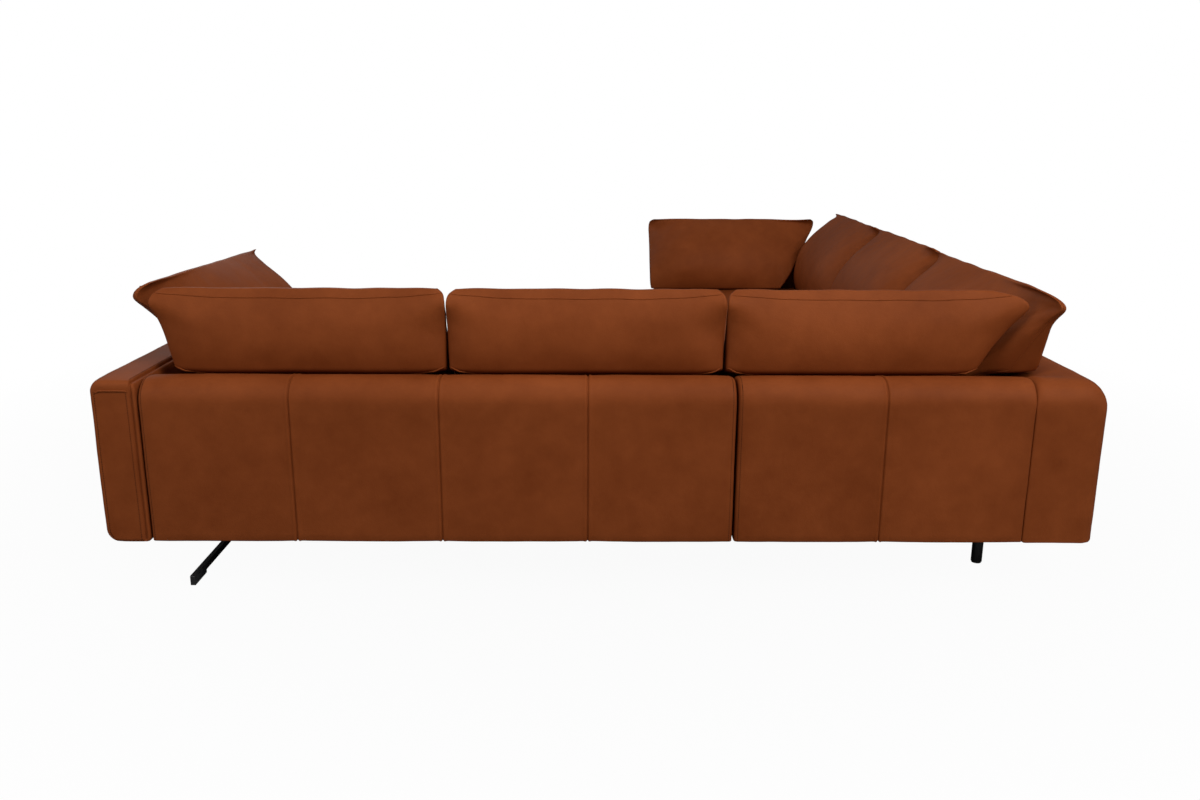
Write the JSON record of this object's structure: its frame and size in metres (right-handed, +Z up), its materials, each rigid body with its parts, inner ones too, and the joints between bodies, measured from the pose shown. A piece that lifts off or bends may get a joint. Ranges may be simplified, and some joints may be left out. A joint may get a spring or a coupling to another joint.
{
  "type": "corner sofa",
  "caption": "L-shaped leather corner sofa with low padded backs and arms, loose leaning back and arm cushions that lift off, and slim black metal legs.",
  "frame": {"origin": "on the floor, below the middle of the plan", "axes": "+Z up; +Y towards the rear of the run seen from behind; +X towards that run's arm"},
  "size_m": [2.73, 2.8, 0.8425],
  "materials": {
    "leather": "semi-matt",
    "wood": "sawn",
    "webbing": "woven",
    "underside_cloth": "matt",
    "black_metal": "satin",
    "foot_plastic": "matt",
    "steel": "zinc plated"
  },
  "bodies": {
    "sofa": {"corner_base_frame": "wood", "corner_dust_cover": "underside_cloth", "corner_rear_back_cover": "leather", "corner_rear_back_frame": "wood", "corner_rear_leg": "black_metal", "corner_return_links": "steel", "corner_seat_cushion": "leather", "corner_seat_webbing": "webbing", "corner_side_back_cover": "leather", "corner_side_back_frame": "wood", "corner_support_legs": "black_metal", "leg_glides": "foot_plastic", "main_arm_bolts": "steel", "main_arm_cover": "leather", "main_arm_frame": "wood", "main_back_cover": "leather", "main_back_frame": "wood", "main_base_frame": "wood", "main_corner_links": "steel", "main_dust_cover": "underside_cloth", "main_front_border": "leather", "main_seat_cushion_1": "leather", "main_seat_cushion_2": "leather", "main_seat_webbing": "webbing", "main_sled_leg": "black_metal", "main_sled_pads": "foot_plastic", "main_support_legs": "black_metal", "return_arm_bolts": "steel", "return_arm_cover": "leather", "return_arm_frame": "wood", "return_back_cover": "leather", "return_back_frame": "wood", "return_base_frame": "wood", "return_dust_cover": "underside_cloth", "return_front_border": "leather", "return_seat_cushion_1": "leather", "return_seat_cushion_2": "leather", "return_seat_webbing": "webbing", "return_sled_leg": "black_metal", "return_sled_pads": "foot_plastic", "return_support_legs": "black_metal"},
    "loose_main_back_cushion_1": {"main_back_cushion_1": "leather"},
    "loose_main_back_cushion_2": {"main_back_cushion_2": "leather"},
    "loose_corner_back_cushion": {"corner_back_cushion": "leather"},
    "loose_corner_side_cushion": {"corner_side_cushion": "leather"},
    "loose_return_back_cushion_1": {"return_back_cushion_1": "leather"},
    "loose_return_back_cushion_2": {"return_back_cushion_2": "leather"},
    "loose_main_arm_cushion": {"main_arm_cushion": "leather"},
    "loose_return_arm_cushion": {"return_arm_cushion": "leather"}
  },
  "joints": [
    {"name": "main_back_cushion_1_lift", "type": "slide", "parent": "sofa", "child": "loose_main_back_cushion_1", "axis": [0, 0.4226, 0.9063], "range_m": [0, 0.45]},
    {"name": "main_back_cushion_2_lift", "type": "slide", "parent": "sofa", "child": "loose_main_back_cushion_2", "axis": [0, 0.4226, 0.9063], "range_m": [0, 0.45]},
    {"name": "corner_back_cushion_lift", "type": "slide", "parent": "sofa", "child": "loose_corner_back_cushion", "axis": [0, 0.4226, 0.9063], "range_m": [0, 0.45]},
    {"name": "corner_side_cushion_lift", "type": "slide", "parent": "sofa", "child": "loose_corner_side_cushion", "axis": [-0.4226, 0, 0.9063], "range_m": [0, 0.45]},
    {"name": "return_back_cushion_1_lift", "type": "slide", "parent": "sofa", "child": "loose_return_back_cushion_1", "axis": [-0.4226, 0, 0.9063], "range_m": [0, 0.45]},
    {"name": "return_back_cushion_2_lift", "type": "slide", "parent": "sofa", "child": "loose_return_back_cushion_2", "axis": [-0.4226, 0, 0.9063], "range_m": [0, 0.45]},
    {"name": "main_arm_cushion_lift", "type": "slide", "parent": "sofa", "child": "loose_main_arm_cushion", "axis": [0.4226, 0, 0.9063], "range_m": [0, 0.45]},
    {"name": "return_arm_cushion_lift", "type": "slide", "parent": "sofa", "child": "loose_return_arm_cushion", "axis": [0, -0.4226, 0.9063], "range_m": [0, 0.45]}
  ]
}
